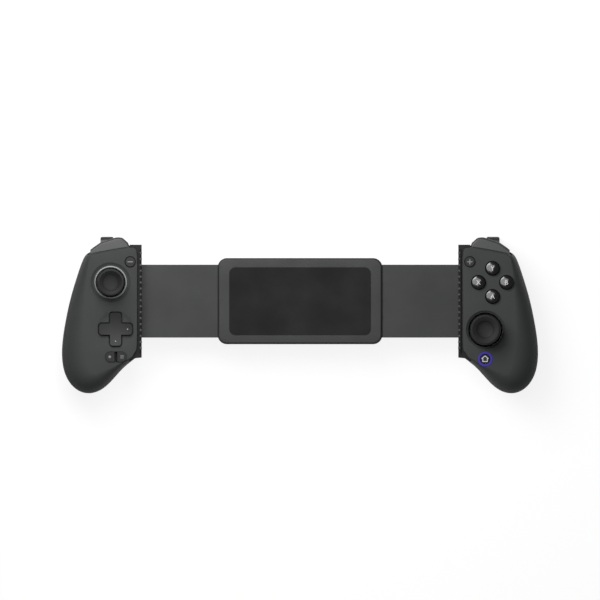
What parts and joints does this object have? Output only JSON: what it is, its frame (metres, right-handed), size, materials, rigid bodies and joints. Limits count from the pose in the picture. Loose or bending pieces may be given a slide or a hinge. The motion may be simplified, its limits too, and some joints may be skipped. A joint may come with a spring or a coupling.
{
  "type": "mobile game controller",
  "caption": "Telescopic game controller that clamps a phone or small tablet between two sculpted grips with sticks, pads, triggers and buttons.",
  "frame": {"origin": "middle of the controller's footprint as it lies on its back, on the surface it lies on", "axes": "+X to the player's right, +Y towards the bumpers, +Z out of the face"},
  "size_m": [0.3094, 0.1018, 0.0566],
  "materials": {
    "shell": "fine matt grained charcoal moulding",
    "shell_back": "matt charcoal moulding",
    "frame_black": "matt black moulding",
    "bridge_plastic": "matt black moulding, lightly grained",
    "bumper_plastic": "satin grey moulding",
    "trigger_plastic": "satin black moulding",
    "button_gloss": "polished black",
    "button_satin": "satin black",
    "dpad_plastic": "satin charcoal",
    "stick_rubber": "fine matt rubber",
    "grip_rubber": "matt black rubber",
    "dome_rubber": "soft grey silicone",
    "ring_metal": "satin silver",
    "steel": "bright steel",
    "spring_steel": "drawn wire",
    "gear_plastic": "natural acetal",
    "stick_case": "moulded",
    "light_pipe": "translucent blue-violet light guide",
    "board": "laminate with black solder mask",
    "film": "amber film",
    "cell": "foil wrapped cell"
  },
  "bodies": {
    "bridge": {"bridge_front_cover": "bridge_plastic", "bridge_back_cover": "bridge_plastic", "bridge_screws": "steel", "bridge_rest_pad": "grip_rubber", "bridge_return_springs": "spring_steel", "bridge_flex_cable": "film"},
    "pinion": {"bridge_pinion": "gear_plastic"},
    "left_grip": {"left_arm": "bridge_plastic", "left_chassis": "frame_black", "left_jaw_pad": "grip_rubber", "left_back_shell": "shell_back", "left_stick_base": "stick_case", "left_circuit_board": "board", "left_rumble_motor": "steel", "left_faceplate_magnets": "steel", "left_shell_screws": "steel", "left_trigger_spring": "spring_steel", "dpad_membrane": "dome_rubber", "battery": "cell"},
    "right_grip": {"right_arm": "bridge_plastic", "right_chassis": "frame_black", "right_jaw_pad": "grip_rubber", "right_back_shell": "shell_back", "right_stick_base": "stick_case", "right_circuit_board": "board", "right_rumble_motor": "steel", "right_faceplate_magnets": "steel", "right_shell_screws": "steel", "right_trigger_spring": "spring_steel", "face_button_membrane": "dome_rubber", "usb_c_socket": "steel"},
    "left_cover": {"left_faceplate": "shell", "left_stick_ring": "ring_metal"},
    "right_cover": {"right_faceplate": "shell", "home_light_ring": "light_pipe"},
    "dpad_rocker": {"dpad_rocker": "stick_case"},
    "dpad": {"dpad": "dpad_plastic"},
    "left_stick_gimbal": {"left_stick_gimbal": "stick_case"},
    "left_stick_stem": {"left_stick_stem": "stick_case"},
    "left_stick_cap": {"left_stick_cap": "stick_rubber"},
    "left_bumper": {"left_bumper": "bumper_plastic"},
    "left_trigger": {"left_trigger": "trigger_plastic"},
    "left_back_button": {"left_back_button": "button_satin"},
    "left_rumble_weight": {"left_rumble_weight": "steel"},
    "right_stick_gimbal": {"right_stick_gimbal": "stick_case"},
    "right_stick_stem": {"right_stick_stem": "stick_case"},
    "right_stick_cap": {"right_stick_cap": "stick_rubber"},
    "right_bumper": {"right_bumper": "bumper_plastic"},
    "right_trigger": {"right_trigger": "trigger_plastic"},
    "right_back_button": {"right_back_button": "button_satin"},
    "right_rumble_weight": {"right_rumble_weight": "steel"},
    "minus_button": {"minus_button": "button_satin"},
    "capture_button": {"capture_button": "button_satin"},
    "menu_button": {"menu_button": "button_satin"},
    "plus_button": {"plus_button": "button_satin"},
    "home_button": {"home_button": "button_satin"},
    "button_a": {"button_a": "button_gloss"},
    "button_b": {"button_b": "button_gloss"},
    "button_x": {"button_x": "button_gloss"},
    "button_y": {"button_y": "button_gloss"}
  },
  "joints": [
    {"name": "left_slide", "type": "slide", "parent": "bridge", "child": "left_grip", "axis": [1, 0, 0], "range_m": [-0.0048, 0.0477], "deforming": ["bridge_return_springs", "bridge_flex_cable"]},
    {"name": "right_slide", "type": "slide", "parent": "bridge", "child": "right_grip", "axis": [-1, 0, 0], "range_m": [-0.0048, 0.0477]},
    {"name": "pinion_spin", "type": "hinge", "parent": "bridge", "child": "pinion", "pos_m": [0, 0.009, 0.0255], "axis": [0, 0, 1], "range_deg": [-40, 392]},
    {"name": "left_stick_tilt_up", "type": "hinge", "parent": "left_grip", "child": "left_stick_gimbal", "pos_m": [-0.1231, 0.0212, 0.034], "axis": [1, 0, 0], "range_deg": [-16, 16], "stiffness_Nm_per_rad": 0.06},
    {"name": "left_stick_tilt_across", "type": "hinge", "parent": "left_stick_gimbal", "child": "left_stick_stem", "pos_m": [-0.1231, 0.0212, 0.034], "axis": [0, 1, 0], "range_deg": [-16, 16], "stiffness_Nm_per_rad": 0.06},
    {"name": "left_stick_click", "type": "slide", "parent": "left_stick_stem", "child": "left_stick_cap", "axis": [0, 0, -1], "range_m": [0, 0.0005], "stiffness_N_per_m": 3600, "springref_m": -0.0003},
    {"name": "left_bumper_press", "type": "slide", "parent": "left_grip", "child": "left_bumper", "axis": [0, -1, 0], "range_m": [0, 0.0008], "stiffness_N_per_m": 1500, "springref_m": -0.00048},
    {"name": "left_trigger_pull", "type": "hinge", "parent": "left_grip", "child": "left_trigger", "pos_m": [-0.1227, 0.038, 0.02], "axis": [-1, 0, 0], "range_deg": [0, 16], "stiffness_Nm_per_rad": 0.06, "springref_deg": -20.05, "deforming": ["left_trigger_spring"]},
    {"name": "left_back_button_press", "type": "slide", "parent": "left_grip", "child": "left_back_button", "axis": [0, 0, 1], "range_m": [0, 0.0006], "stiffness_N_per_m": 1500, "springref_m": -0.00036},
    {"name": "left_rumble_spin", "type": "hinge", "parent": "left_grip", "child": "left_rumble_weight", "pos_m": [-0.1367, -0.024, 0.0195], "axis": [0, 0, 1], "continuous": true},
    {"name": "left_cover_lift", "type": "slide", "parent": "left_grip", "child": "left_cover", "axis": [0, 0, 1], "range_m": [0, 0.02]},
    {"name": "right_stick_tilt_up", "type": "hinge", "parent": "right_grip", "child": "right_stick_gimbal", "pos_m": [0.1205, -0.0096, 0.034], "axis": [1, 0, 0], "range_deg": [-16, 16], "stiffness_Nm_per_rad": 0.06},
    {"name": "right_stick_tilt_across", "type": "hinge", "parent": "right_stick_gimbal", "child": "right_stick_stem", "pos_m": [0.1205, -0.0096, 0.034], "axis": [0, 1, 0], "range_deg": [-16, 16], "stiffness_Nm_per_rad": 0.06},
    {"name": "right_stick_click", "type": "slide", "parent": "right_stick_stem", "child": "right_stick_cap", "axis": [0, 0, -1], "range_m": [0, 0.0005], "stiffness_N_per_m": 3600, "springref_m": -0.0003},
    {"name": "right_bumper_press", "type": "slide", "parent": "right_grip", "child": "right_bumper", "axis": [0, -1, 0], "range_m": [0, 0.0008], "stiffness_N_per_m": 1500, "springref_m": -0.00048},
    {"name": "right_trigger_pull", "type": "hinge", "parent": "right_grip", "child": "right_trigger", "pos_m": [0.1227, 0.038, 0.02], "axis": [-1, 0, 0], "range_deg": [0, 16], "stiffness_Nm_per_rad": 0.06, "springref_deg": -20.05, "deforming": ["right_trigger_spring"]},
    {"name": "right_back_button_press", "type": "slide", "parent": "right_grip", "child": "right_back_button", "axis": [0, 0, 1], "range_m": [0, 0.0006], "stiffness_N_per_m": 1500, "springref_m": -0.00036},
    {"name": "right_rumble_spin", "type": "hinge", "parent": "right_grip", "child": "right_rumble_weight", "pos_m": [0.1367, -0.024, 0.0195], "axis": [0, 0, 1], "continuous": true},
    {"name": "right_cover_lift", "type": "slide", "parent": "right_grip", "child": "right_cover", "axis": [0, 0, 1], "range_m": [0, 0.02]},
    {"name": "dpad_rock_up", "type": "hinge", "parent": "left_grip", "child": "dpad_rocker", "pos_m": [-0.1199, -0.0092, 0.038], "axis": [1, 0, 0], "range_deg": [-3.5, 3.5], "stiffness_Nm_per_rad": 0.15},
    {"name": "dpad_rock_across", "type": "hinge", "parent": "dpad_rocker", "child": "dpad", "pos_m": [-0.1199, -0.0092, 0.038], "axis": [0, 1, 0], "range_deg": [-3.5, 3.5], "stiffness_Nm_per_rad": 0.15},
    {"name": "minus_press", "type": "slide", "parent": "left_grip", "child": "minus_button", "axis": [0, 0, -1], "range_m": [0, 0.0006], "stiffness_N_per_m": 1333.3, "springref_m": -0.00036},
    {"name": "capture_press", "type": "slide", "parent": "left_grip", "child": "capture_button", "axis": [0, 0, -1], "range_m": [0, 0.0006], "stiffness_N_per_m": 1333.3, "springref_m": -0.00036},
    {"name": "menu_press", "type": "slide", "parent": "left_grip", "child": "menu_button", "axis": [0, 0, -1], "range_m": [0, 0.0006], "stiffness_N_per_m": 1333.3, "springref_m": -0.00036},
    {"name": "plus_press", "type": "slide", "parent": "right_grip", "child": "plus_button", "axis": [0, 0, -1], "range_m": [0, 0.0006], "stiffness_N_per_m": 1333.3, "springref_m": -0.00036},
    {"name": "home_press", "type": "slide", "parent": "right_grip", "child": "home_button", "axis": [0, 0, -1], "range_m": [0, 0.0006], "stiffness_N_per_m": 1333.3, "springref_m": -0.00036},
    {"name": "button_a_press", "type": "slide", "parent": "right_grip", "child": "button_a", "axis": [0, 0, -1], "range_m": [0, 0.001], "stiffness_N_per_m": 700, "springref_m": -0.0006},
    {"name": "button_b_press", "type": "slide", "parent": "right_grip", "child": "button_b", "axis": [0, 0, -1], "range_m": [0, 0.001], "stiffness_N_per_m": 700, "springref_m": -0.0006},
    {"name": "button_x_press", "type": "slide", "parent": "right_grip", "child": "button_x", "axis": [0, 0, -1], "range_m": [0, 0.001], "stiffness_N_per_m": 700, "springref_m": -0.0006},
    {"name": "button_y_press", "type": "slide", "parent": "right_grip", "child": "button_y", "axis": [0, 0, -1], "range_m": [0, 0.001], "stiffness_N_per_m": 700, "springref_m": -0.0006}
  ],
  "couplings": [
    {"joint": "right_slide", "follows": "left_slide", "ratio": 1},
    {"joint": "pinion_spin", "follows": "left_slide", "rad_per_m": 142.86}
  ]
}
